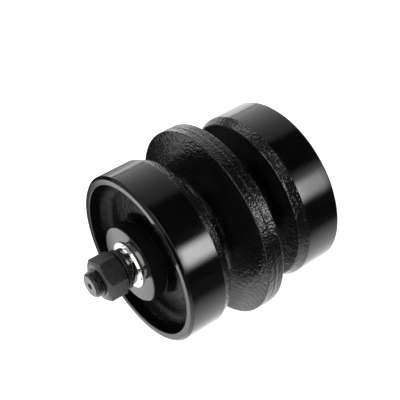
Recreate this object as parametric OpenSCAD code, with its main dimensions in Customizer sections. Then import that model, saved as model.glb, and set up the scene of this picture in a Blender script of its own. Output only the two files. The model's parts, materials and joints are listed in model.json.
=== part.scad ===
// Track roller with a centre flange: an oil-bath roller on a fixed axle.
// The axle lies along Y. The origin is the middle of the roller, and +Z is up.
// The left end is at -Y, the right end at +Y. Sizes are in millimetres.
// The left stud is long, with a heavy nut; the right stud is short, with a thin nut.

/* [Roller body] */
// Diameter of the two machined treads
tread_d = 180; // [170:1:190]
// Width of the roller body over its two rims
body_w = 186.6; // [180:0.2:190]
// Width of each tread, from the rim face to its inner edge
tread_w = 40.3; // [36:0.1:44]
// Diameter of the centre flange at its parting line
flange_d = 203; // [198:1:208]
// Diameter of the neck on either side of the centre flange
neck_d = 104; // [96:1:112]
// Thickness of the rim wall at its mouth
rim_wall = 9; // [7:0.5:11]
// Depth of the recess in each end, from the rim face to its floor
recess_depth = 21; // [18:1:34]
// Outer diameter of the hub inside each recess
hub_d = 80; // [79:1:81]

/* [Axle] */
// Diameter of the axle's journal
journal_d = 40; // [38:0.5:42]
// Diameter of the threaded stud at each end
stud_d = 27; // [24:1:27]
// Length of the left stud outside its heavy nut
stud_left_l = 9.2; // [8:0.1:12]
// Length of the right stud outside its thin nut
stud_right_l = 2; // [1.5:0.1:3]
// Radial running clearance between journal and bushing
run_gap = 0.05; // [0.02:0.01:0.1]
// Diameter of the oil gallery along the axle
gallery_d = 6; // [5:0.5:7]

/* [End collars] */
// Diameter of each end collar
collar_d = 80.8; // [78:0.2:84]
// How far each collar stands out past the rim face
collar_proud = 7.7; // [6:0.1:9]

/* [Mounting hardware] */
// Diameter of the frame spacer's flange
spacer_flange_d = 49; // [46:1:52]
// Thickness of the frame spacer's flange
spacer_flange_t = 1.8; // [1.5:0.1:2.5]
// Diameter of the frame spacer's barrel
spacer_barrel_d = 38; // [36:1:40]
// Length of the frame spacer's barrel, past its flange
spacer_barrel_l = 7.5; // [6:0.1:9]
// Outer diameter of the split lock washer under the heavy nut
washer_d = 41.5; // [40:0.5:44]
// Thickness of the split lock washer
washer_t = 4; // [3:0.5:5]
// Width across the flats of both hex nuts
nut_flats = 41; // [38:1:42]
// Height of the heavy nut on the left stud
nut_h = 23.8; // [21:0.1:25]
// Height of the thin nut on the right stud
thin_nut_h = 13.5; // [12:0.5:14]
// Turn of each nut about the axle, from a flat that faces up
nut_turn = 33; // [0:1:60]

/* [Hidden] */

LEFT = -1;
RIGHT = 1;
ROUND = 96;
ARC_STEPS = 6;
PAST = 1;

// Roller body: places along Y are distances from the middle plane
tread_r = tread_d / 2;
rim_y = body_w / 2;
rim_chamfer = 2.7;
rim_in_r = tread_r - rim_wall;
rim_draft = 1;
tread_in_y = rim_y - tread_w;
shoulder_r = tread_r - 4.7;
shoulder_y = tread_in_y - 10.2;
neck_r = neck_d / 2;
neck_out_y = shoulder_y - 3.5;
neck_in_y = 19.5;
neck_fillet = 9;
flange_r = flange_d / 2;
flange_edge_r = flange_r - 0.3;
flange_edge_y = 9.4;
floor_y = rim_y - recess_depth;
hub_foot_fillet = 6;
rim_foot_fillet = 13;
hub_r = hub_d / 2;
hub_end_y = rim_y - 8.5;
hub_draft = 1;

// Inside of the hub
journal_r = journal_d / 2;
bushing_wall = 4.45;
bushing_in_r = journal_r + run_gap;
bushing_out_r = bushing_in_r + bushing_wall;
bushing_in_y = 24;
bushing_flange_r = bushing_out_r + 6.5;
bushing_flange_t = 4;
bushing_seat_y = rim_y - 22;
bushing_end_y = bushing_seat_y + bushing_flange_t;
oil_groove_r = 1.6;
cavity_r = bushing_out_r + 5.5;
cavity_half = bushing_in_y - 2;
seal_bore_r = journal_r + 16;
seal_floor_y = bushing_end_y + 0.2;

// Floating seal pair, mirrored about the plane where its two rings meet
seal_y = hub_end_y - 0.5;
seal_face_gap = 0.02;
seal_in_r = journal_r + 5;
seal_barrel_r = seal_bore_r - 6;
seal_lip_r = seal_bore_r - 2;
seal_lip_t = 2.4;
seal_ring_w = 7.5;
toric_r = 2.95;
toric_pitch_r = (seal_bore_r + seal_barrel_r) / 2;
toric_offset = 5.4;

// End collar
collar_r = collar_d / 2;
collar_y = rim_y + collar_proud;
collar_chamfer = 1;
collar_lip_y = hub_end_y + 1;
collar_floor_y = 2 * seal_y - seal_floor_y;
spigot_r = journal_r + 3.5;
spigot_y = bushing_end_y + 0.3;

// Axle
stud_r = stud_d / 2;
thread_pitch = 3;
pitch_r = stud_r - 0.3248 * thread_pitch;
journal_end_y = collar_y - 0.7;
stud_chamfer = 2.5;
gallery_r = gallery_d / 2;
plug_inset = 12;
plug_l = 6;
plug_socket_flats = 3;
plug_socket_l = 3;
centre_hole_r = 2.5;
centre_hole_l = 4;
o_ring_y = rim_y - 10;
o_ring_groove_r = journal_r - 2.1;
o_ring_groove_w = 2.6;
o_ring_r = 0.95;
pin_r = 3;
pin_bore_r = 1.7;
pin_slot = 1;
pin_l = 68;
pin_y = collar_y - 4.2;
pin_z = journal_r - 6;

// Hardware on the studs, from the collar outwards
stud_gap = 0.25;
spacer_y = collar_y + spacer_flange_t;
washer_y = spacer_y + spacer_barrel_l;
washer_split = 3;
washer_split_lean = 25;
nut_y = washer_y + washer_t;
nut_end_y = nut_y + nut_h;
thin_nut_y = washer_y;
thin_nut_end_y = thin_nut_y + thin_nut_h;
left_end_y = nut_end_y + stud_left_l;
right_end_y = thin_nut_end_y + stud_right_l;
nut_corner_r = nut_flats / sqrt(3);
nut_chamfer_angle = 30;
nut_face_share = 0.88;

// Unit vector along v
function unit(v) = v / norm(v);

// Points of the arc about c from p to q, the short way round
function arc_between(c, p, q) =
    let (
        radius = norm(p - c),
        start = atan2(p[1] - c[1], p[0] - c[0]),
        end = atan2(q[1] - c[1], q[0] - c[0]),
        sweep = (end - start + 540) % 360 - 180
    )
    [
        for (i = [0 : ARC_STEPS])
            let (a = start + sweep * i / ARC_STEPS)
            c + radius * [cos(a), sin(a)]
    ];

// A corner at b between a and c, rounded to the given radius
function round_corner(a, b, c, radius) =
    let (
        u = unit(a - b),
        v = unit(c - b),
        half = acos(u * v) / 2,
        reach = radius / tan(half),
        centre = b + unit(u + v) * radius / sin(half)
    )
    arc_between(centre, b + u * reach, b + v * reach);

// An outline of [radius from the axis, place along it, corner radius] points
function outline(points) =
    let (
        n = len(points),
        xy = [for (p = points) [p[0], p[1]]]
    )
    [
        for (i = [0 : n - 1])
            each (points[i][2] == 0)
                ? [xy[i]]
                : round_corner(xy[(i + n - 1) % n], xy[i], xy[(i + 1) % n], points[i][2])
    ];

// The same points on the other side of the middle plane, in reverse order
function mirrored(points) =
    [
        for (i = [len(points) - 1 : -1 : 0])
            [points[i][0], -points[i][1], points[i][2]]
    ];

// Turns a solid about Z into one about Y, with +Z becoming +Y
module along_y() {
    rotate([-90, 0, 0])
        children();
}

// Turns an outline about the Y axis
module turned(points) {
    along_y()
        rotate_extrude($fn = ROUND)
            polygon(outline(points));
}

// Places a right-hand piece on the side asked for
module on_side(side) {
    mirror([0, (side == LEFT) ? 1 : 0, 0])
        children();
}

// A solid cylinder along Y from one place to another
module rod(radius, from_y, to_y) {
    translate([0, from_y, 0])
        along_y()
            cylinder(r = radius, h = to_y - from_y, $fn = ROUND);
}

// Cast body with two treads, centre flange, recessed ends and a stepped bore
module roller_body() {
    right_half = [
        [cavity_r, cavity_half, 0],
        [bushing_out_r, cavity_half, 0],
        [bushing_out_r, bushing_seat_y, 0],
        [bushing_flange_r + 0.5, bushing_seat_y, 0],
        [bushing_flange_r + 0.5, seal_floor_y, 0],
        [seal_bore_r, seal_floor_y, 0],
        [seal_bore_r, hub_end_y, 0],
        [hub_r, hub_end_y, 1.5],
        [hub_r + hub_draft, floor_y, hub_foot_fillet],
        [rim_in_r - rim_draft, floor_y, rim_foot_fillet],
        [rim_in_r, rim_y, 1.2],
        [tread_r - rim_chamfer, rim_y, 0],
        [tread_r, rim_y - rim_chamfer, 0],
        [tread_r, tread_in_y, 1.2],
        [shoulder_r, shoulder_y, 1.5],
        [neck_r, neck_out_y, neck_fillet],
        [neck_r, neck_in_y, neck_fillet],
        [flange_edge_r, flange_edge_y, 1.2]
    ];
    color([0.06, 0.06, 0.065])
        turned(concat(right_half, [[flange_r, 0, 0]], mirrored(right_half)));
}

// Fixed axle: ground journal, a stud at each end, oil gallery and pin holes
module axle_shaft() {
    color([0.35, 0.35, 0.37])
        difference() {
            union() {
                rod(journal_r, -journal_end_y, journal_end_y);
                stud(LEFT, nut_y, nut_end_y, left_end_y);
                stud(RIGHT, thin_nut_y, thin_nut_end_y, right_end_y);
            }
            for (side = [LEFT, RIGHT])
                on_side(side) {
                    turned([
                        [o_ring_groove_r, o_ring_y - o_ring_groove_w / 2, 0],
                        [journal_r + PAST, o_ring_y - o_ring_groove_w / 2, 0],
                        [journal_r + PAST, o_ring_y + o_ring_groove_w / 2, 0],
                        [o_ring_groove_r, o_ring_y + o_ring_groove_w / 2, 0]
                    ]);
                    pin_hole();
                }
            rod(gallery_r, -left_end_y - PAST, gallery_r);
            rotate([0, 90, 0])
                cylinder(r = gallery_r, h = 3 * journal_r, center = true, $fn = ROUND);
            turned([
                [0, right_end_y - centre_hole_l, 0],
                [centre_hole_r, right_end_y, 0],
                [centre_hole_r, right_end_y + PAST, 0],
                [0, right_end_y + PAST, 0]
            ]);
        }
}

// One stud, from the middle of the axle outwards: inside its nut it has the
// thread's pitch radius, and elsewhere the thread's outer radius
module stud(side, nut_from, nut_to, end_y) {
    on_side(side)
        turned([
            [0, 0, 0],
            [stud_r, 0, 0],
            [stud_r, nut_from, 0],
            [pitch_r, nut_from, 0],
            [pitch_r, nut_to, 0],
            [stud_r, nut_to, 0],
            [stud_r, end_y - stud_chamfer, 0],
            [stud_r - stud_chamfer, end_y, 0],
            [0, end_y, 0]
        ]);
}

// The cross hole for a collar's pin, through collar and axle beside the gallery
module pin_hole() {
    translate([0, pin_y, pin_z])
        rotate([0, 90, 0])
            cylinder(r = pin_r, h = collar_d + 2 * PAST, center = true, $fn = ROUND);
}

// Screwed plug that closes the oil gallery inside the left stud
module oil_plug() {
    plug_y = left_end_y - plug_inset;
    color([0.72, 0.58, 0.3])
        on_side(LEFT)
            difference() {
                rod(gallery_r, plug_y, plug_y + plug_l);
                translate([0, plug_y + plug_l - plug_socket_l, 0])
                    along_y()
                        cylinder(d = plug_socket_flats / cos(30), h = plug_socket_l + PAST, $fn = 6);
            }
}

// Flanged bushing pressed into the hub, with one oil groove along its bore
module bushing(side) {
    color([0.78, 0.6, 0.3])
        on_side(side)
            difference() {
                turned([
                    [bushing_in_r, bushing_in_y, 0],
                    [bushing_out_r, bushing_in_y, 0],
                    [bushing_out_r, bushing_seat_y, 0],
                    [bushing_flange_r, bushing_seat_y, 0],
                    [bushing_flange_r, bushing_end_y, 0],
                    [bushing_in_r, bushing_end_y, 0]
                ]);
                translate([0, 0, bushing_in_r])
                    rod(oil_groove_r, bushing_in_y - PAST, bushing_seat_y);
            }
}

// One metal ring of a floating seal: away is -1 for the ring on the hub's side
module seal_ring(side, away) {
    face = seal_y + away * seal_face_gap;
    color([0.55, 0.56, 0.58])
        on_side(side)
            turned([
                [seal_in_r, face, 0],
                [seal_lip_r, face, 0],
                [seal_lip_r, face + away * seal_lip_t, 0],
                [seal_barrel_r, face + away * seal_lip_t, 0],
                [seal_barrel_r, seal_y + away * seal_ring_w, 0],
                [seal_in_r, seal_y + away * seal_ring_w, 0]
            ]);
}

// The rubber ring that carries a seal ring in its housing
module toric(side, away) {
    color([0.1, 0.1, 0.1])
        on_side(side)
            ring_of(toric_pitch_r, toric_r, seal_y + away * toric_offset);
}

// A round-section ring about Y
module ring_of(pitch_r, section_r, y) {
    translate([0, y, 0])
        along_y()
            rotate_extrude($fn = ROUND)
                translate([pitch_r, 0])
                    circle(r = section_r, $fn = 32);
}

// End collar: outer disc, lip around the fixed seal, and a thrust spigot
module end_collar(side) {
    color([0.08, 0.08, 0.085])
        on_side(side)
            difference() {
                turned([
                    [journal_r, spigot_y, 0],
                    [journal_r, collar_y, 0],
                    [collar_r - collar_chamfer, collar_y, 0],
                    [collar_r, collar_y - collar_chamfer, 0],
                    [collar_r, collar_lip_y, 0],
                    [seal_bore_r, collar_lip_y, 0],
                    [seal_bore_r, collar_floor_y, 0],
                    [spigot_r, collar_floor_y, 0],
                    [spigot_r, spigot_y, 0]
                ]);
                pin_hole();
            }
}

// O-ring between axle and collar
module axle_o_ring(side) {
    color([0.12, 0.12, 0.12])
        on_side(side)
            ring_of((o_ring_groove_r + journal_r) / 2, o_ring_r, o_ring_y);
}

// Slotted spring pin that locks a collar to the axle
module collar_pin(side) {
    color([0.4, 0.4, 0.42])
        on_side(side)
            translate([0, pin_y, pin_z])
                difference() {
                    rotate([0, 90, 0])
                        cylinder(r = pin_r, h = pin_l, center = true, $fn = ROUND);
                    rotate([0, 90, 0])
                        cylinder(r = pin_bore_r, h = pin_l + 2 * PAST, center = true, $fn = ROUND);
                    translate([-pin_l / 2 - PAST, -pin_slot / 2, 0])
                        cube([pin_l + 2 * PAST, pin_slot, pin_r + PAST]);
                }
}

// Bare steel spacer: its barrel locates the track frame, its flange seats it
module frame_spacer(side) {
    barrel_r = spacer_barrel_d / 2;
    bore_r = stud_r + stud_gap;
    color([0.8, 0.8, 0.8])
        on_side(side)
            turned([
                [bore_r, collar_y, 0],
                [spacer_flange_d / 2, collar_y, 0],
                [spacer_flange_d / 2, spacer_y, 0.4],
                [barrel_r, spacer_y, 0],
                [barrel_r, washer_y, 0.4],
                [bore_r, washer_y, 0]
            ]);
}

// Split lock washer under the heavy nut
module lock_washer() {
    color([0.1, 0.1, 0.1])
        on_side(LEFT)
            difference() {
                rod(washer_d / 2, washer_y, nut_y);
                rod(stud_r + stud_gap, washer_y - PAST, nut_y + PAST);
                translate([0, (washer_y + nut_y) / 2, 0])
                    rotate([0, 0, washer_split_lean])
                        translate([-washer_split / 2, -washer_t, -washer_d])
                            cube([washer_split, 2 * washer_t, washer_d]);
            }
}

// Hex nut, its corners turned down at both ends
module hex_nut(side, from_y, to_y) {
    color([0.09, 0.09, 0.09])
        rotate([0, nut_turn, 0])
            on_side(side)
                difference() {
                    intersection() {
                        translate([0, from_y, 0])
                            along_y()
                                cylinder(r = nut_corner_r, h = to_y - from_y, $fn = 6);
                        nut_cone(to_y, 1);
                        nut_cone(from_y, -1);
                    }
                    rod(pitch_r, from_y - PAST, to_y + PAST);
                }
}

// The chamfer cone of one nut face: it meets the face inside the flats
module nut_cone(face_y, away) {
    face_r = nut_flats / 2 * nut_face_share;
    depth = 2 * nut_h;
    foot_y = face_y - away * depth;
    foot_r = face_r + depth / tan(nut_chamfer_angle);
    turned([
        [0, face_y, 0],
        [face_r, face_y, 0],
        [foot_r, foot_y, 0],
        [0, foot_y, 0]
    ]);
}

roller_body();
axle_shaft();
oil_plug();
bushing(LEFT);  // bushing_left
bushing(RIGHT);  // bushing_right
seal_ring(LEFT, -1);  // turning_seal_ring_left
seal_ring(RIGHT, -1);  // turning_seal_ring_right
seal_ring(LEFT, 1);  // fixed_seal_ring_left
seal_ring(RIGHT, 1);  // fixed_seal_ring_right
toric(LEFT, -1);  // turning_toric_left
toric(RIGHT, -1);  // turning_toric_right
toric(LEFT, 1);  // fixed_toric_left
toric(RIGHT, 1);  // fixed_toric_right
end_collar(LEFT);  // end_collar_left
end_collar(RIGHT);  // end_collar_right
axle_o_ring(LEFT);  // axle_o_ring_left
axle_o_ring(RIGHT);  // axle_o_ring_right
collar_pin(LEFT);  // collar_pin_left
collar_pin(RIGHT);  // collar_pin_right
frame_spacer(LEFT);  // frame_spacer_left
frame_spacer(RIGHT);  // frame_spacer_right
lock_washer();  // lock_washer_left
hex_nut(LEFT, nut_y, nut_end_y);  // hex_nut_left
hex_nut(RIGHT, thin_nut_y, thin_nut_end_y);  // thin_nut_right
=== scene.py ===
import json
import math

import bpy
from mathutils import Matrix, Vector, noise


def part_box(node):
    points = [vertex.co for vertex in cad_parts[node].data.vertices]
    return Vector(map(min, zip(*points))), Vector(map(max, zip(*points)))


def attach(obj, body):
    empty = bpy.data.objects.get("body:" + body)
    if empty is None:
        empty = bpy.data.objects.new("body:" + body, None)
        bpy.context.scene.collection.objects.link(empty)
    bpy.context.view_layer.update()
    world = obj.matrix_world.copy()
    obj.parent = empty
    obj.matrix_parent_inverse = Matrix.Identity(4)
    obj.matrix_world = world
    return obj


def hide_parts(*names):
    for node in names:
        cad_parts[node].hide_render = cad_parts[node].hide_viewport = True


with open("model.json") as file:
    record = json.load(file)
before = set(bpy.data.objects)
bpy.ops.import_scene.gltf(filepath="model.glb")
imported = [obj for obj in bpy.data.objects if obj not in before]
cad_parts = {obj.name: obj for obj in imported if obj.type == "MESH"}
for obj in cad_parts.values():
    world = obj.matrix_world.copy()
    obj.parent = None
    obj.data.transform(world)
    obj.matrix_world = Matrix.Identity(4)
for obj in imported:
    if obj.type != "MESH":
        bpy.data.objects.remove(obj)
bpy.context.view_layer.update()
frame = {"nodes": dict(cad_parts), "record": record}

# ---------------------------------------------------------------- units and sizes
# The roller's axis is Y, the left end (-Y) is the near one. Sizes in metres.
MM = 0.001
LEFT = -1
RIGHT = 1
SIDES = {"left": LEFT, "right": RIGHT}


def top_r(node):
    """Largest radius of a CAD node about Y."""
    low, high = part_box(node)
    return max(high.x, high.z)


def y_span(node):
    """Where a right-hand CAD node starts and ends along Y."""
    low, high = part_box(node)
    return low.y, high.y


flange_r = top_r("roller_body")
rim_y = y_span("roller_body")[1]
collar_r = top_r("end_collar_right")
collar_in_y, collar_y = y_span("end_collar_right")
spacer_r = top_r("frame_spacer_right")
spacer_end_y = y_span("frame_spacer_right")[1]
washer_r = top_r("lock_washer_left")
thin_nut_y, thin_nut_end_y = y_span("thin_nut_right")
right_end_y = y_span("axle_shaft")[1]
left_end_y = -y_span("axle_shaft")[0]
nut_end_y = -y_span("hex_nut_left")[0]
nut_y = -y_span("hex_nut_left")[1]
washer_y = -y_span("lock_washer_left")[1]
journal_r = top_r("axle_shaft")

# Roller body, as the CAD outline has it
tread_r = 90 * MM
rim_chamfer = 2.7 * MM
rim_in_r = tread_r - 9 * MM
tread_in_y = rim_y - 40.3 * MM
shoulder_r = tread_r - 4.7 * MM
shoulder_y = tread_in_y - 10.2 * MM
neck_out_y = shoulder_y - 3.5 * MM
neck_r = 52 * MM
neck_in_y = 19.5 * MM
flange_edge_y = 9.4 * MM
flange_edge_r = flange_r - 0.3 * MM
floor_y = rim_y - 21 * MM
hub_r = 40 * MM
hub_fillet = 6 * MM
rim_fillet = 13 * MM
hub_end_y = rim_y - 8.5 * MM
seal_bore_r = 36 * MM
bushing_seat_y = rim_y - 22 * MM
seal_floor_y = bushing_seat_y + 4.2 * MM
bushing_r = 24.5 * MM
bushing_flange_r = 31.5 * MM
cavity_r = 30 * MM
cavity_y = 22 * MM

# Studs, nuts and spacers
stud_r = 13.5 * MM
thread_pitch = 3 * MM
thread_depth = 1.75 * MM
stud_chamfer = 2.5 * MM
oil_hole_r = 3 * MM
oil_hole_depth = 6 * MM
centre_hole_r = 2.5 * MM
centre_hole_depth = 4 * MM
spacer_bore_r = 13.75 * MM
spacer_barrel_r = 19 * MM
spacer_flange_t = 1.8 * MM
nut_flat_r = 20.5 * MM
nut_turn = math.radians(33)


# ---------------------------------------------------------------- materials
class Tree:
    """Short calls for building a node tree."""

    def __init__(self, tree):
        self.tree = tree

    def add(self, kind, **settings):
        node = self.tree.nodes.new(kind)
        for key, value in settings.items():
            setattr(node, key, value)
        return node

    def link(self, source, target):
        self.tree.links.new(source, target)

    def map(self, value, low, high, to_low, to_high, smooth=False):
        """Takes low..high to to_low..to_high, and stays there outside them."""
        node = self.add("ShaderNodeMapRange")
        if smooth:
            node.interpolation_type = "SMOOTHSTEP"
        self.link(value, node.inputs["Value"])
        for key, number in zip(("From Min", "From Max", "To Min", "To Max"), (low, high, to_low, to_high)):
            node.inputs[key].default_value = number
        return node.outputs["Result"]

    def maths(self, operation, a, b=None):
        """One sum. a and b are numbers or sockets."""
        node = self.add("ShaderNodeMath", operation=operation)
        for socket, value in zip(node.inputs, (a, b)):
            if value is None:
                continue
            if isinstance(value, (int, float)):
                socket.default_value = value
            else:
                self.link(value, socket)
        return node.outputs["Value"]

    def times(self, a, b):
        return self.maths("MULTIPLY", a, b)

    def plus(self, first, *others):
        total = first
        for other in others:
            total = self.maths("ADD", total, other)
        return total

    def rest_of(self, share):
        """What a share leaves of 1."""
        return self.maths("SUBTRACT", 1.0, share)

    def split(self, vector):
        node = self.add("ShaderNodeSeparateXYZ")
        self.link(vector, node.inputs["Vector"])
        return node.outputs["X"], node.outputs["Y"], node.outputs["Z"]

    def window(self, value, start, full, fall, end):
        """1 between full and fall, going smoothly to 0 at start and at end."""
        rise = self.map(value, start, full, 0, 1, smooth=True)
        return self.times(rise, self.map(value, fall, end, 1, 0, smooth=True))


class Nodes(Tree):
    """One material: its node tree, its shader and its coordinates."""

    def __init__(self, name):
        self.material = bpy.data.materials.new(name)
        self.material.use_nodes = True
        super().__init__(self.material.node_tree)
        self.shader = self.tree.nodes["Principled BSDF"]
        self.place = self.add("ShaderNodeTexCoord").outputs["Object"]

    def noise(self, scale, detail=4.0, roughness=0.55, distortion=0.0, place=None):
        node = self.add("ShaderNodeTexNoise")
        self.link(place or self.place, node.inputs["Vector"])
        node.inputs["Scale"].default_value = scale
        node.inputs["Detail"].default_value = detail
        node.inputs["Roughness"].default_value = roughness
        node.inputs["Distortion"].default_value = distortion
        return node.outputs["Fac"]

    def voronoi(self, scale):
        node = self.add("ShaderNodeTexVoronoi")
        self.link(self.place, node.inputs["Vector"])
        node.inputs["Scale"].default_value = scale
        return node.outputs["Distance"]

    def ramp(self, fac, stops):
        """A colour ramp. Each stop is (place, grey) or (place, (red, green, blue))."""
        node = self.add("ShaderNodeValToRGB")
        self.link(fac, node.inputs["Fac"])
        ramp = node.color_ramp
        while len(ramp.elements) < len(stops):
            ramp.elements.new(0.5)
        for element, (at, colour) in zip(ramp.elements, stops):
            element.position = at
            rgb = colour if isinstance(colour, tuple) else (colour,) * 3
            element.color = (*rgb, 1)
        return node.outputs["Color"]

    def axis_place(self):
        """Coordinates (radius, place along the axle, 0), for turning marks."""
        x, y, z = self.split(self.place)
        radius = self.maths("SQRT", self.plus(self.times(x, x), self.times(z, z)))
        joined = self.add("ShaderNodeCombineXYZ")
        self.link(radius, joined.inputs["X"])
        self.link(y, joined.inputs["Y"])
        return joined.outputs["Vector"]

    def bump(self, *layers):
        """Stacks (height, strength, distance) layers into the shader's normal."""
        normal = None
        for height, strength, distance in layers:
            node = self.add("ShaderNodeBump")
            node.inputs["Strength"].default_value = strength
            node.inputs["Distance"].default_value = distance
            self.link(height, node.inputs["Height"])
            if normal is not None:
                self.link(normal, node.inputs["Normal"])
            normal = node.outputs["Normal"]
        self.link(normal, self.shader.inputs["Normal"])

    def set(self, **values):
        """Sets or links the shader's inputs. An underscore in a name stands for a space."""
        for key, value in values.items():
            socket = self.shader.inputs[key.replace("_", " ")]
            if hasattr(value, "is_linked"):
                self.link(value, socket)
            else:
                socket.default_value = value


def gloss_paint(name, base=0.002, rough=(0.07, 0.15)):
    """Smooth black paint over a machined face, with faint turning marks under it."""
    n = Nodes(name)
    smudge = n.noise(28, 5, 0.6, 0.6)
    turning = n.noise(900, 2, 0.5, 0, n.axis_place())
    peel = n.noise(420, 3, 0.5)
    speck = n.voronoi(260)
    n.set(
        Base_Color=n.ramp(smudge, [(0.35, base), (0.75, base * 1.6)]),
        Roughness=n.map(smudge, 0.35, 0.75, *rough),
        IOR=1.5,
    )
    n.bump(
        (turning, 0.05, 0.0002),
        (peel, 0.05, 0.0004),
        (n.ramp(speck, [(0.0, 1.0), (0.05, 0.0)]), 0.08, 0.0002),
    )
    return n.material


def cast_paint(name, base=0.003, rough=(0.14, 0.22), ior=1.5):
    """The same black paint over a sand-cast surface: a fine, glinting grain."""
    n = Nodes(name)
    patch = n.noise(45, 4, 0.6)
    grain = n.noise(560, 0, 0.5)
    lumps = n.noise(200, 0, 0.5, 0.3)
    pits = n.voronoi(420)
    n.set(
        Base_Color=n.ramp(patch, [(0.3, base), (0.8, base * 1.7)]),
        Roughness=n.map(patch, 0.3, 0.8, *rough),
        IOR=ior,
    )
    n.bump(
        (lumps, 0.5, 0.0006),
        (grain, 1.0, 0.00042),
        (n.ramp(pits, [(0.05, 0.0), (0.45, 1.0)]), 0.2, 0.0003),
    )
    return n.material


def bare_steel(name, rough=(0.08, 0.18), ring_marks=0.12):
    """Bright turned steel with ring marks and a slight stain."""
    n = Nodes(name)
    rings = n.noise(2600, 3, 0.6, 0, n.axis_place())
    stain = n.noise(120, 5, 0.65, 0.8)
    n.set(
        Base_Color=n.ramp(stain, [(0.3, (0.86, 0.85, 0.83)), (0.7, (0.74, 0.73, 0.70))]),
        Roughness=n.map(stain, 0.3, 0.7, *rough),
        Metallic=1.0,
    )
    n.bump((rings, ring_marks, 0.0001), (stain, 0.05, 0.0004))
    return n.material


def black_oxide(name, base, rough, bright):
    """Hot-rolled and blackened hardware with an oily, uneven satin sheen."""
    n = Nodes(name)
    patch = n.noise(170, 6, 0.65, 0.5)
    fine = n.noise(750, 1, 0.5)
    n.set(
        Base_Color=n.ramp(patch, [(0.3, base), (0.75, bright)]),
        Roughness=n.map(patch, 0.3, 0.75, *rough),
        Metallic=0.35,
        IOR=1.6,
    )
    n.bump((patch, 0.45, 0.0009), (fine, 1.0, 0.00055))
    return n.material


def ground_steel(name):
    """Ground steel of the journal, with fine ring marks."""
    n = Nodes(name)
    rings = n.noise(3000, 2, 0.5, 0, n.axis_place())
    stain = n.noise(60, 5, 0.6, 0.4)
    n.set(
        Base_Color=n.ramp(stain, [(0.3, 0.42), (0.7, 0.3)]),
        Roughness=n.map(stain, 0.3, 0.7, 0.18, 0.3),
        Metallic=1.0,
    )
    n.bump((rings, 0.15, 0.0001))
    return n.material


def bronze(name):
    """Turned bronze or brass, with ring marks and tarnish."""
    n = Nodes(name)
    rings = n.noise(2200, 3, 0.55, 0, n.axis_place())
    tarnish = n.noise(90, 5, 0.6, 0.6)
    n.set(
        Base_Color=n.ramp(tarnish, [(0.3, (0.62, 0.42, 0.17)), (0.75, (0.42, 0.26, 0.10))]),
        Roughness=n.map(tarnish, 0.3, 0.75, 0.25, 0.42),
        Metallic=1.0,
    )
    n.bump((rings, 0.2, 0.0002))
    return n.material


def seal_iron(name):
    """Turned iron of the floating seals, with ring marks and a mottle."""
    n = Nodes(name)
    rings = n.noise(3200, 2, 0.5, 0, n.axis_place())
    mottle = n.noise(220, 5, 0.65)
    n.set(
        Base_Color=n.ramp(mottle, [(0.3, 0.33), (0.75, 0.22)]),
        Roughness=n.map(mottle, 0.3, 0.75, 0.25, 0.45),
        Metallic=1.0,
    )
    n.bump((rings, 0.12, 0.0001), (mottle, 0.1, 0.0003))
    return n.material


def seal_rubber(name):
    """Dull black rubber with a bloom."""
    n = Nodes(name)
    bloom = n.noise(140, 5, 0.6, 0.4)
    fine = n.noise(1800, 2, 0.5)
    n.set(
        Base_Color=n.ramp(bloom, [(0.3, 0.012), (0.8, 0.03)]),
        Roughness=n.map(bloom, 0.3, 0.8, 0.5, 0.75),
    )
    n.bump((fine, 0.2, 0.0002))
    return n.material


def pin_steel(name):
    """Dark, patchy spring steel."""
    n = Nodes(name)
    patch = n.noise(300, 4, 0.6)
    n.set(
        Base_Color=n.ramp(patch, [(0.3, 0.12), (0.75, 0.2)]),
        Roughness=n.map(patch, 0.3, 0.75, 0.3, 0.5),
        Metallic=1.0,
    )
    n.bump((patch, 0.15, 0.0002))
    return n.material


machined = gloss_paint("body_paint_machined")
cast = cast_paint("body_paint_cast")
# The recess gets a darker copy of the cast paint, with an index of refraction of 1.2, so that it reflects
# less: painted shade in the recess
recess = cast_paint("body_paint_recess_painted_shade", 0.002, (0.14, 0.22), 1.2)
collar_paint = gloss_paint("collar_paint", 0.004, (0.08, 0.17))
steel = bare_steel("bare_steel")
barrel_steel = bare_steel("bare_steel_barrel", (0.04, 0.06), 0.03)
nut_black = black_oxide("nut_black", 0.006, (0.26, 0.46), 0.03)
washer_black = black_oxide("washer_black", 0.006, (0.3, 0.45), 0.015)
thread_black = black_oxide("thread_black", 0.006, (0.18, 0.3), 0.02)
journal_steel = ground_steel("journal_steel")
MATERIALS = {
    "body_paint": cast,
    "collar_paint": collar_paint,
    "axle_steel": journal_steel,
    "bare_steel": steel,
    "black_hardware": nut_black,
    "bushing_bronze": bronze("bushing_bronze"),
    "plug_brass": bronze("plug_brass"),
    "seal_iron": seal_iron("seal_iron"),
    "seal_rubber": seal_rubber("seal_rubber"),
    "pin_steel": pin_steel("pin_steel"),
}


# ---------------------------------------------------------------- outlines turned about Y
def rounded(points, steps=10):
    """Outline points [radius, y, corner radius, finish] with their corners as arcs.

    The finish is the one of the surface from this point to the next.
    Returns (radius, y, finish) rows."""
    rows = []
    count = len(points)
    for i, (r, y, corner, finish) in enumerate(points):
        here = Vector((r, y))
        if not corner:
            rows.append((r, y, finish))
            continue
        before = Vector(points[i - 1][:2])
        after = Vector(points[(i + 1) % count][:2])
        u = (before - here).normalized()
        v = (after - here).normalized()
        half = u.angle(v) / 2
        reach = corner / math.tan(half)
        centre = here + (u + v).normalized() * corner / math.sin(half)
        start = here + u * reach - centre
        end = here + v * reach - centre
        a0 = math.atan2(start.y, start.x)
        sweep = (math.atan2(end.y, end.x) - a0 + math.pi) % math.tau - math.pi
        before_finish = points[i - 1][3]
        for k in range(steps + 1):
            a = a0 + sweep * k / steps
            mid_finish = before_finish if k < steps / 2 else finish
            rows.append((centre.x + corner * math.cos(a), centre.y + corner * math.sin(a), mid_finish))
    return rows


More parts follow.
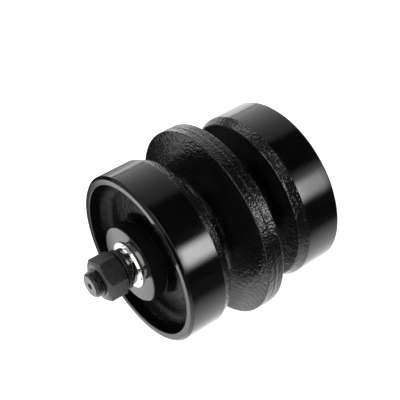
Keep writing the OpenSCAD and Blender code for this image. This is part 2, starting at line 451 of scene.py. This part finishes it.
def both_ends(points):
    """A right-hand outline and its mirror image, as one outline.

    A finish belongs to the stretch after a point, so the mirrored finishes move one place."""
    back = []
    for i in range(len(points) - 1, -1, -1):
        r, y, corner, _ = points[i]
        finish = points[i - 1][3] if i else points[0][3]
        back.append((r, -y, corner, finish))
    return points + back


def fine_rows(rows, spacing):
    """Adds rows to a closed outline, so that no stretch is longer than its finish's spacing."""
    out = []
    for i, (r0, y0, finish) in enumerate(rows):
        r1, y1, _ = rows[(i + 1) % len(rows)]
        length = math.hypot(r1 - r0, y1 - y0)
        parts = max(1, math.ceil(length / spacing[finish]))
        for k in range(parts):
            t = k / parts
            out.append((r0 + (r1 - r0) * t, y0 + (y1 - y0) * t, finish))
    return out


def make_object(name, verts, faces, materials, slots=None, smooth_angle=35):
    """A mesh object. Edges sharper than smooth_angle, in degrees, stay crisp."""
    mesh = bpy.data.meshes.new(name)
    mesh.from_pydata(verts, [], faces)
    for material in materials:
        mesh.materials.append(material)
    if slots:
        mesh.polygons.foreach_set("material_index", slots)
    mesh.polygons.foreach_set("use_smooth", [True] * len(mesh.polygons))
    mesh.validate()
    mesh.set_sharp_from_angle(angle=math.radians(smooth_angle))
    mesh.update()
    piece = bpy.data.objects.new(name, mesh)
    bpy.context.scene.collection.objects.link(piece)
    return piece


def lathe(name, rows, segments, finishes, shape=None, closed=True):
    """Turns outline rows about Y. shape(radius, y, angle, finish) may move a point."""
    verts = []
    for r, y, finish in rows:
        for s in range(segments):
            a = math.tau * s / segments
            at_r, at_y = shape(r, y, a, finish) if shape else (r, y)
            verts.append((at_r * math.sin(a), at_y, at_r * math.cos(a)))
    names = list(finishes)
    faces = []
    slots = []
    count = len(rows)
    for i in range(count if closed else count - 1):
        j = (i + 1) % count
        slot = names.index(rows[i][2])
        for s in range(segments):
            t = (s + 1) % segments
            faces.append((i * segments + s, j * segments + s, j * segments + t, i * segments + t))
            slots.append(slot)
    return make_object(name, verts, faces, [finishes[k] for k in names], slots)


def on_side(rows, side):
    """A right-hand outline, or its mirror image turned round so that it still faces out."""
    if side == RIGHT:
        return rows
    flipped = [(r, -y, finish) for r, y, finish in rows]
    return flipped[::-1]


# ---------------------------------------------------------------- roller body
BODY_SPACING = {"cast": 1.2 * MM, "recess": 2 * MM, "machined": 8 * MM}
BODY_SEGMENTS = 600
RECESS_DRAFT = 1 * MM
HUB_EDGE = 0.6 * MM
RIM_EDGE = 1.2 * MM
CHAMFER_OUT_EDGE = 0.5 * MM
CHAMFER_IN_EDGE = 0.8 * MM
TREAD_IN_EDGE = 1.2 * MM
SHOULDER_EDGE = 1.5 * MM
GROOVE_CORNER = 9 * MM
FLANGE_EDGE = 1.2 * MM

# The parting line round the flange, and the room above it that the grain may use
SEAM_HALF = 1.2 * MM
SEAM_HEIGHT = 0.4 * MM
SEAM_TIP_HALF = 0.3 * MM
SEAM_ROOM = 0.15 * MM

# The as-cast surface: its grain is capped near the flange's top, fades in beside the treads,
# and points mostly along Y on the sides of the groove
LUMP_SIZE = 9 * MM
LUMP_HEIGHT = 0.05 * MM
GRAIN_SIZE = 1.9 * MM
GRAIN_HEIGHT = 0.15 * MM
GRAIN_SHIFT = Vector((7, 3, 5))
GRAIN_FADE = 1.5 * MM
CAP_BAND = 0.6 * MM
CAP_HEIGHT = 0.1 * MM
SIDE_SHARE = 0.7
SIDE_FOOT_R = neck_r + 3 * MM
groove_middle_y = (neck_in_y + neck_out_y) / 2


def body_outline():
    """The body's section, out from the oil cavity and over hub, recess, rim, tread and groove."""
    right = [
        (cavity_r, cavity_y, 0, "machined"),
        (bushing_r, cavity_y, 0, "machined"),
        (bushing_r, bushing_seat_y, 0, "machined"),
        (bushing_flange_r, bushing_seat_y, 0, "machined"),
        (bushing_flange_r, seal_floor_y, 0, "machined"),
        (seal_bore_r, seal_floor_y, 0, "machined"),
        (seal_bore_r, hub_end_y, 0, "machined"),
        (hub_r, hub_end_y, HUB_EDGE, "recess"),
        (hub_r + RECESS_DRAFT, floor_y, hub_fillet, "recess"),
        (rim_in_r - RECESS_DRAFT, floor_y, rim_fillet, "recess"),
        (rim_in_r, rim_y, RIM_EDGE, "machined"),
        (tread_r - rim_chamfer, rim_y, CHAMFER_OUT_EDGE, "machined"),
        (tread_r, rim_y - rim_chamfer, CHAMFER_IN_EDGE, "machined"),
        (tread_r, tread_in_y, TREAD_IN_EDGE, "cast"),
        (shoulder_r, shoulder_y, SHOULDER_EDGE, "cast"),
        (neck_r, neck_out_y, GROOVE_CORNER, "cast"),
        (neck_r, neck_in_y, GROOVE_CORNER, "cast"),
        (flange_edge_r, flange_edge_y, FLANGE_EDGE, "cast"),
        (flange_r - SEAM_HEIGHT - SEAM_ROOM, SEAM_HALF, 0, "cast"),
        (flange_r - SEAM_ROOM, SEAM_TIP_HALF, 0, "cast"),
    ]
    return fine_rows(rounded(both_ends(right)), BODY_SPACING)


def cast_height(point):
    """Height of the as-cast surface over its nominal place: lumps with a grain on them."""
    lumps = noise.noise(point / LUMP_SIZE)
    grain = noise.noise(point / GRAIN_SIZE + GRAIN_SHIFT)
    return LUMP_HEIGHT * lumps + GRAIN_HEIGHT * grain


def body_shape(r, y, a, finish):
    """Roughens the as-cast surfaces. The grain fades out beside the machined treads."""
    if finish != "cast":
        return r, y
    height = cast_height(Vector((r * math.sin(a), y, r * math.cos(a))))
    if r > shoulder_r:
        height *= min(1.0, abs(abs(y) - tread_in_y) / GRAIN_FADE)
    if flange_r - r < CAP_BAND:
        height = min(height, CAP_HEIGHT)
    if abs(y) <= flange_edge_y or not SIDE_FOOT_R < r < shoulder_r:
        return r + height, y
    on_flange = abs(y) < groove_middle_y
    outward = 1 if on_flange == (y > 0) else -1
    return r + height * (1 - SIDE_SHARE), y + height * SIDE_SHARE * outward


BODY_FINISHES = {"machined": machined, "recess": recess, "cast": cast}
roller = lathe("roller_casting", body_outline(), BODY_SEGMENTS, BODY_FINISHES, body_shape)
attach(roller, "roller")
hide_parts("roller_body")


# ---------------------------------------------------------------- end collars and spacers
RING_SEGMENTS = 256
CORNER_STEPS = 5
COLLAR_CHAMFER = 0.9 * MM
COLLAR_EDGE = 0.3 * MM
COLLAR_BACK_EDGE = 0.4 * MM
COLLAR_GAP = 1 * MM
COLLAR_DISC_T = 7.9 * MM
SPIGOT_WALL = 3.5 * MM
SPACER_EDGE = 0.2 * MM
SPACER_FLANGE_EDGE = 0.45 * MM
SPACER_FOOT = 0.3 * MM
SPACER_BORE_EDGE = 0.3 * MM


def collar_outline():
    """A disc over the hub's end, with a spigot round the journal."""
    spigot_r = journal_r + SPIGOT_WALL
    back_y = hub_end_y + COLLAR_GAP
    floor = collar_y - COLLAR_DISC_T
    return rounded([
        (journal_r, collar_in_y, 0, "paint"),
        (journal_r, collar_y, 0, "paint"),
        (collar_r - COLLAR_CHAMFER, collar_y, COLLAR_EDGE, "paint"),
        (collar_r, collar_y - COLLAR_CHAMFER, COLLAR_EDGE, "paint"),
        (collar_r, back_y, COLLAR_BACK_EDGE, "paint"),
        (seal_bore_r, back_y, 0, "paint"),
        (seal_bore_r, floor, 0, "paint"),
        (spigot_r, floor, 0, "paint"),
        (spigot_r, collar_in_y, 0, "paint"),
    ], CORNER_STEPS)


def spacer_outline():
    """A flange on the collar's face and a barrel out to the nut or its washer."""
    flange_y = collar_y + spacer_flange_t
    return rounded([
        (spacer_bore_r, collar_y, 0, "steel"),
        (spacer_r, collar_y, SPACER_EDGE, "steel"),
        (spacer_r, flange_y, SPACER_FLANGE_EDGE, "steel"),
        (spacer_barrel_r, flange_y, SPACER_FOOT, "barrel"),
        (spacer_barrel_r, spacer_end_y, SPACER_EDGE, "steel"),
        (spacer_bore_r, spacer_end_y, SPACER_BORE_EDGE, "steel"),
    ], CORNER_STEPS)


COLLAR_FINISHES = {"paint": collar_paint}
SPACER_FINISHES = {"steel": steel, "barrel": barrel_steel}
for end, side in SIDES.items():
    collar = lathe(f"collar_disc_{end}", on_side(collar_outline(), side), RING_SEGMENTS, COLLAR_FINISHES)
    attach(collar, "axle")
    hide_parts(f"end_collar_{end}")
    spacer = lathe(f"spacer_turned_{end}", on_side(spacer_outline(), side), RING_SEGMENTS, SPACER_FINISHES)
    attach(spacer, "axle")
    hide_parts(f"frame_spacer_{end}")


# ---------------------------------------------------------------- threaded axle
AXLE_SEGMENTS = 128
THREAD_START = 4 * MM
THREAD_ROWS = 14
CREST_SHARE = 0.12
FLANK_SHARE = 0.68
STUD_ROOM = 0.05 * MM
STUD_END_STEP = 0.3 * MM
O_RING_INSET = 10 * MM
O_RING_HALF = 1.3 * MM
O_RING_DEPTH = 2.1 * MM
JOURNAL_INSET = 0.7 * MM
HOLE_CHAMFER = 0.4 * MM
POINT_R = 0.02 * MM


def thread_radius(along, a, side, end_y):
    """Radius of the M27 thread at a place: flat crests, flanks and rounded roots.

    The crests stay a little inside the CAD's stud, and the end is cut to a cone."""
    turns = along / thread_pitch - side * a / math.tau
    phase = abs((turns % 1.0) * 2 - 1)
    flank = min(1.0, max(0.0, (phase - CREST_SHARE) / FLANK_SHARE))
    depth = thread_depth * (1 - math.cos(math.pi * flank)) / 2
    cone = stud_r - max(0.0, along - (end_y - stud_chamfer))
    return min(stud_r - STUD_ROOM - depth, cone)


def half_axle(nut_from, end_y):
    """Journal and plain stud up to inside the nut, then the threaded end: (radius, along, finish)."""
    groove_y = rim_y - O_RING_INSET
    groove_r = journal_r - O_RING_DEPTH
    journal_y = collar_y - JOURNAL_INSET
    thread_y = nut_from + THREAD_START
    half = [
        (journal_r, groove_y - O_RING_HALF, "ground"),
        (groove_r, groove_y - O_RING_HALF, "ground"),
        (groove_r, groove_y + O_RING_HALF, "ground"),
        (journal_r, groove_y + O_RING_HALF, "ground"),
        (journal_r, journal_y, "ground"),
        (stud_r - STUD_ROOM, journal_y, "thread"),
    ]
    steps = round((end_y - thread_y) / thread_pitch * THREAD_ROWS)
    half += [(stud_r, thread_y + (end_y - thread_y) * k / steps, "thread") for k in range(steps + 1)]
    half.append((stud_r - stud_chamfer - STUD_END_STEP, end_y, "thread"))
    return half


def axle_rows():
    """The axle's section from the bottom of the oil hole on the left to the right centre hole."""
    right = half_axle(thin_nut_y, right_end_y)
    mirror = half_axle(nut_y, left_end_y)
    finishes = ["ground"] + [finish for _, _, finish in mirror[:-1]]
    left = [(r, -y, finish) for (r, y, _), finish in zip(mirror, finishes)][::-1]
    hole_end = -(left_end_y - oil_hole_depth)
    left_face = [
        (POINT_R, hole_end, "thread"),
        (oil_hole_r, hole_end, "thread"),
        (oil_hole_r, -left_end_y + HOLE_CHAMFER, "thread"),
        (oil_hole_r + HOLE_CHAMFER, -left_end_y, "thread"),
    ]
    right_face = [
        (centre_hole_r, right_end_y, "thread"),
        (POINT_R, right_end_y - centre_hole_depth, "thread"),
    ]
    return left_face + left + right + right_face


def axle_shape(r, y, a, _finish):
    """Cuts the thread into the rows at the stud's full radius, and leaves the others alone."""
    if r != stud_r:
        return r, y
    side, end_y = (RIGHT, right_end_y) if y > 0 else (LEFT, left_end_y)
    return thread_radius(abs(y), a, side, end_y), y


AXLE_FINISHES = {"ground": journal_steel, "thread": thread_black}
axle = lathe("axle_threaded", axle_rows(), AXLE_SEGMENTS, AXLE_FINISHES, axle_shape, closed=False)
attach(axle, "axle")
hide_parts("axle_shaft")


# ---------------------------------------------------------------- nuts
HEX_SHARPNESS = 46
NUT_SEGMENTS = 216
NUT_LEAD_IN = 1.9 * MM
NUT_BORE_STEP = 1.0 * MM
NUT_MOUTH_STEP = 0.9 * MM
NUT_FACE_SHARE = 0.88
NUT_CHAMFER = math.radians(30)
NUT_SMOOTH_ANGLE = 28
FACE_RINGS = 10
SIDE_RINGS = 8


def hex_radius(a, flat_r):
    """Radius of a hexagon with slightly rounded corners, at an angle from a flat's middle."""
    total = sum(max(0.0, math.cos(a - k * math.pi / 3)) ** HEX_SHARPNESS for k in range(6))
    return flat_r / total ** (1 / HEX_SHARPNESS)


def nut_rows():
    """Rings of the nut: (kind of ring, its share of the way across or along)."""
    across = [k / FACE_RINGS for k in range(FACE_RINGS + 1)]
    rows = [("bore", 0.0), ("bore", 1.0), ("mouth", 1.0)]
    rows += [("face", share) for share in across]
    rows += [("side", k / SIDE_RINGS) for k in range(1, SIDE_RINGS)]
    rows += [("back", share) for share in reversed(across)]
    rows += [("mouth", 0.0)]
    return rows


def nut_point(kind, share, a, length):
    """Radius and place along the nut of one point of a ring."""
    bore_r = stud_r - NUT_BORE_STEP
    mouth_r = stud_r + NUT_MOUTH_STEP
    face_r = nut_flat_r * NUT_FACE_SHARE
    corner = hex_radius(a, nut_flat_r)
    slope = math.tan(NUT_CHAMFER)
    drop = max(0.0, corner - face_r) * slope
    if kind == "bore":
        return bore_r, NUT_LEAD_IN + share * (length - 2 * NUT_LEAD_IN)
    if kind == "mouth":
        return mouth_r, share * length
    if kind == "side":
        return corner, length - drop - share * (length - 2 * drop)
    r = mouth_r + (corner - mouth_r) * share
    fall = max(0.0, r - face_r) * slope
    return r, (length - fall if kind == "face" else fall)


def make_nut(name, node, side, from_y, to_y):
    """A hex nut with a chamfer at each end, its inner face at from_y and its outer at to_y."""
    verts = []
    rows = nut_rows()
    for kind, share in rows:
        for s in range(NUT_SEGMENTS):
            a = math.tau * s / NUT_SEGMENTS
            r, along = nut_point(kind, share, a, to_y - from_y)
            place = a + nut_turn
            verts.append((r * math.sin(place), side * (from_y + along), r * math.cos(place)))
    faces = []
    for i in range(len(rows)):
        j = (i + 1) % len(rows)
        for s in range(NUT_SEGMENTS):
            t = (s + 1) % NUT_SEGMENTS
            quad = (i * NUT_SEGMENTS + s, j * NUT_SEGMENTS + s, j * NUT_SEGMENTS + t, i * NUT_SEGMENTS + t)
            faces.append(quad if side == LEFT else quad[::-1])
    nut = make_object(name, verts, faces, [nut_black], smooth_angle=NUT_SMOOTH_ANGLE)
    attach(nut, "axle")
    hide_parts(node)


make_nut("nut_forged_left", "hex_nut_left", LEFT, nut_y, nut_end_y)
make_nut("nut_forged_right", "thin_nut_right", RIGHT, thin_nut_y, thin_nut_end_y)


# ---------------------------------------------------------------- split lock washer
WASHER_SPLIT = 3 * MM
WASHER_LEAN = math.radians(25)
WASHER_STEPS = 180
WASHER_CORNER = 0.6 * MM
WASHER_CORNER_STEPS = 4


def make_washer():
    """Sweeps a rounded section round the stud, from one side of the leaning split to the other."""
    section = rounded([
        (spacer_bore_r, washer_y, WASHER_CORNER, "black"),
        (washer_r, washer_y, WASHER_CORNER, "black"),
        (washer_r, nut_y, WASHER_CORNER, "black"),
        (spacer_bore_r, nut_y, WASHER_CORNER, "black"),
    ], WASHER_CORNER_STEPS)
    middle_y = (washer_y + nut_y) / 2
    verts = []
    for k in range(WASHER_STEPS + 1):
        for r, y, _ in section:
            half_gap = WASHER_SPLIT / 2 / r
            lean = (y - middle_y) * math.tan(WASHER_LEAN) / r
            a = math.pi + half_gap + lean + (math.tau - 2 * half_gap) * k / WASHER_STEPS
            verts.append((r * math.sin(a), -y, r * math.cos(a)))
    ring = len(section)
    faces = []
    for k in range(WASHER_STEPS):
        for i in range(ring):
            j = (i + 1) % ring
            faces.append((k * ring + j, (k + 1) * ring + j, (k + 1) * ring + i, k * ring + i))
    faces.append(tuple(range(ring))[::-1])
    faces.append(tuple(WASHER_STEPS * ring + i for i in range(ring)))
    washer = make_object("washer_split_left", verts, faces, [washer_black])
    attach(washer, "axle")
    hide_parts("lock_washer_left")


make_washer()


# ---------------------------------------------------------------- materials of the CAD nodes
for row in frame["record"]["subparts"]:
    node = frame["nodes"][row["node"]]
    node.data.materials.clear()
    node.data.materials.append(MATERIALS[row["material_slot"]])


# ---------------------------------------------------------------- stage, light and camera
def unit_direction(azimuth, elevation):
    """The way a camera at this azimuth and elevation looks. Azimuth 0 looks along +Y."""
    az, el = math.radians(azimuth), math.radians(elevation)
    return Vector((-math.sin(az) * math.cos(el), math.cos(az) * math.cos(el), -math.sin(el)))


def look_at(obj, place, target):
    """Stands a camera at a place and turns it to a target, with its top up."""
    obj.location = place
    obj.rotation_mode = "QUATERNION"
    obj.rotation_quaternion = (target - place).to_track_quat("-Z", "Y")


def flat_square(name, half, z, material):
    """A level square of the stage, facing up."""
    corners = [(-half, -half, z), (half, -half, z), (half, half, z), (-half, half, z)]
    mesh = bpy.data.meshes.new(name)
    mesh.from_pydata(corners, [], [(0, 1, 2, 3)])
    mesh.materials.append(material)
    obj = bpy.data.objects.new(name, mesh)
    bpy.context.scene.collection.objects.link(obj)
    return obj


FLOOR_HALF = 5.0
FLOOR_GLOW = 0.9
FLOOR_GAP = 0.3 * MM
CARD_GAP = 0.5 * MM
floor_z = -flange_r - FLOOR_GAP

# White paper that glows, so that it keeps next to no shadow. Gloss doesn't see it
paper = Nodes("floor_paper")
paper.set(
    Base_Color=paper.ramp(paper.noise(3, 3), [(0.3, 0.86), (0.7, 0.9)]),
    Roughness=0.9,
    Emission_Color=(1, 1, 1, 1),
    Emission_Strength=FLOOR_GLOW,
)
paper.bump((paper.noise(300, 2), 0.02, 0.0005))
floor = flat_square("floor", FLOOR_HALF, floor_z, paper.material)
floor.visible_glossy = False

# A glowing card paints the floor's reflection: painted pools of light and painted shadows of the roller
# What only the gloss sees in place of the floor: strengths by the floor's x and y, in metres.
# Each map goes from its first value at the first place to its second value at the second
POOL_SLANT = 0.385
NEAR_EDGE = -0.092
BACK_END, FRONT_START = -0.07, 0.0
pool = Nodes("floor_painted_reflection")
pool_x, pool_y, _ = pool.split(pool.place)

# Back half: painted light past a slanted line at the left end, painted roller shadow beside it, brighter
# to the right
slanted = pool.maths("SUBTRACT", pool_y, pool.times(pool_x, POOL_SLANT))
near = pool.map(slanted, -0.115, NEAR_EDGE, 1.75, 0.0)
painted_shadow_beside = pool.map(slanted, NEAR_EDGE, -0.050, 0.33, 0.04)
far = pool.map(pool_y, 0.0, 0.42, 0.0, 2.0)
back_half = pool.plus(near, painted_shadow_beside, far)

# Front half: painted light beside the roller, a painted shadow under it and dark further out
under = pool.times(pool.map(pool_y, -0.10, -0.07, 0, 0.6, True), pool.map(pool_x, 0.03, 0.06, 1, 0, True))
front_half = pool.times(pool.map(pool_x, 0.10, 0.32, 1.5, 0.06, True), pool.rest_of(under))

# Both halves, less a painted shade past the right end
painted_shade_far_end = pool.times(pool.map(pool_y, 0.22, 0.34, 0, 0.92, True), pool.map(pool_x, -0.38, -0.24, 0, 1, True))
both = pool.plus(
    pool.times(back_half, pool.map(pool_x, BACK_END, FRONT_START, 1, 0, True)),
    pool.times(front_half, pool.map(pool_x, BACK_END, FRONT_START, 0, 1, True)),
)
glow = pool.times(both, pool.rest_of(painted_shade_far_end))
pool.set(
    Base_Color=(0, 0, 0, 1),
    Roughness=1.0,
    Specular_IOR_Level=0.0,
    Emission_Color=(1, 1, 1, 1),
    Emission_Strength=glow,
)
# The card with the painted reflection of the floor, seen by the gloss only
card = flat_square("floor_painted_reflection", FLOOR_HALF, floor_z - CARD_GAP, pool.material)
card.visible_camera = False
card.visible_diffuse = False
card.visible_shadow = False

# The studio around: strengths by direction, with "around" the angle about Y from +X over +Z
world = bpy.data.worlds.new("studio")
world.use_nodes = True
bpy.context.scene.world = world
sky = Tree(world.node_tree)
way_x, way_y, way_z = sky.split(sky.add("ShaderNodeTexCoord").outputs["Generated"])
around = sky.maths("DEGREES", sky.maths("ARCTAN2", way_z, way_x))


def soft_box(strength, around_window, y_window):
    """A soft-edged patch of light, between two angles about Y and two values of the direction's y."""
    patch = sky.times(sky.window(around, *around_window), sky.window(way_y, *y_window))
    return sky.times(patch, strength)


# Strength, window of angles in degrees, window of y. The front is +X, and the right end is +Y
WORLD_BASE = 0.01
total = sky.plus(
    # The main light, low in front and to the right
    soft_box(13.0, (6, 22, 32, 44), (0.366, 0.385, 0.40, 0.60)),
    # Low in front and far to the right
    soft_box(3.0, (0, 20, 40, 60), (0.72, 0.82, 0.95, 1.0)),
    # A halo on the right of the main light
    soft_box(1.8, (8, 26, 34, 58), (0.42, 0.52, 0.65, 0.80)),
    # A wash over the back, on the right, and more of it low down
    soft_box(0.45, (98, 110, 200, 201), (-0.10, 0.75, 0.76, 0.90)),
    soft_box(1.45, (100, 180, 200, 201), (-0.10, 0.75, 0.76, 0.90)),
    # A dim wash over the top and back, on the left
    soft_box(0.4, (60, 80, 200, 201), (-1.2, -1.1, -0.5, -0.1)),
    # The light that the left end faces, from low in front to overhead
    soft_box(5.0, (-20, 0, 90, 110), (-0.80, -0.74, -0.60, -0.50)),
    # High in front and high behind, square to the axle
    soft_box(1.0, (48, 62, 70, 90), (-0.28, -0.12, 0.10, 0.33)),
    soft_box(2.4, (112, 132, 142, 165), (-0.28, -0.12, 0.10, 0.33)),
    WORLD_BASE,
)

# The camera sees the world as plain white
seen = sky.add("ShaderNodeLightPath").outputs["Is Camera Ray"]
background = world.node_tree.nodes["Background"]
background.inputs["Color"].default_value = (1, 1, 1, 1)
sky.link(sky.maths("MAXIMUM", total, seen), background.inputs["Strength"])
bpy.context.scene.view_settings.view_transform = "Standard"

# The camera: its line of sight passes above and left of the roller's middle
CAM_AZIMUTH = 52.0
CAM_ELEVATION = 44.2
CAM_DISTANCE = 11.99 * tread_r
CAM_LENS = 95.7
AIM_LEFT = 0.110 * tread_r
AIM_ABOVE = 0.221 * tread_r
AIM_NEAR = 1.3 * MM

forward = unit_direction(CAM_AZIMUTH, CAM_ELEVATION)
right = forward.cross(Vector((0, 0, 1))).normalized()
up = right.cross(forward)
aim = up * AIM_ABOVE - right * AIM_LEFT - Vector((0, AIM_NEAR, 0))
lens = bpy.data.cameras.new("camera")
lens.lens = CAM_LENS
lens.sensor_width = 36
camera = bpy.data.objects.new("camera", lens)
bpy.context.scene.collection.objects.link(camera)
look_at(camera, aim - forward * CAM_DISTANCE, aim)
bpy.context.scene.camera = camera
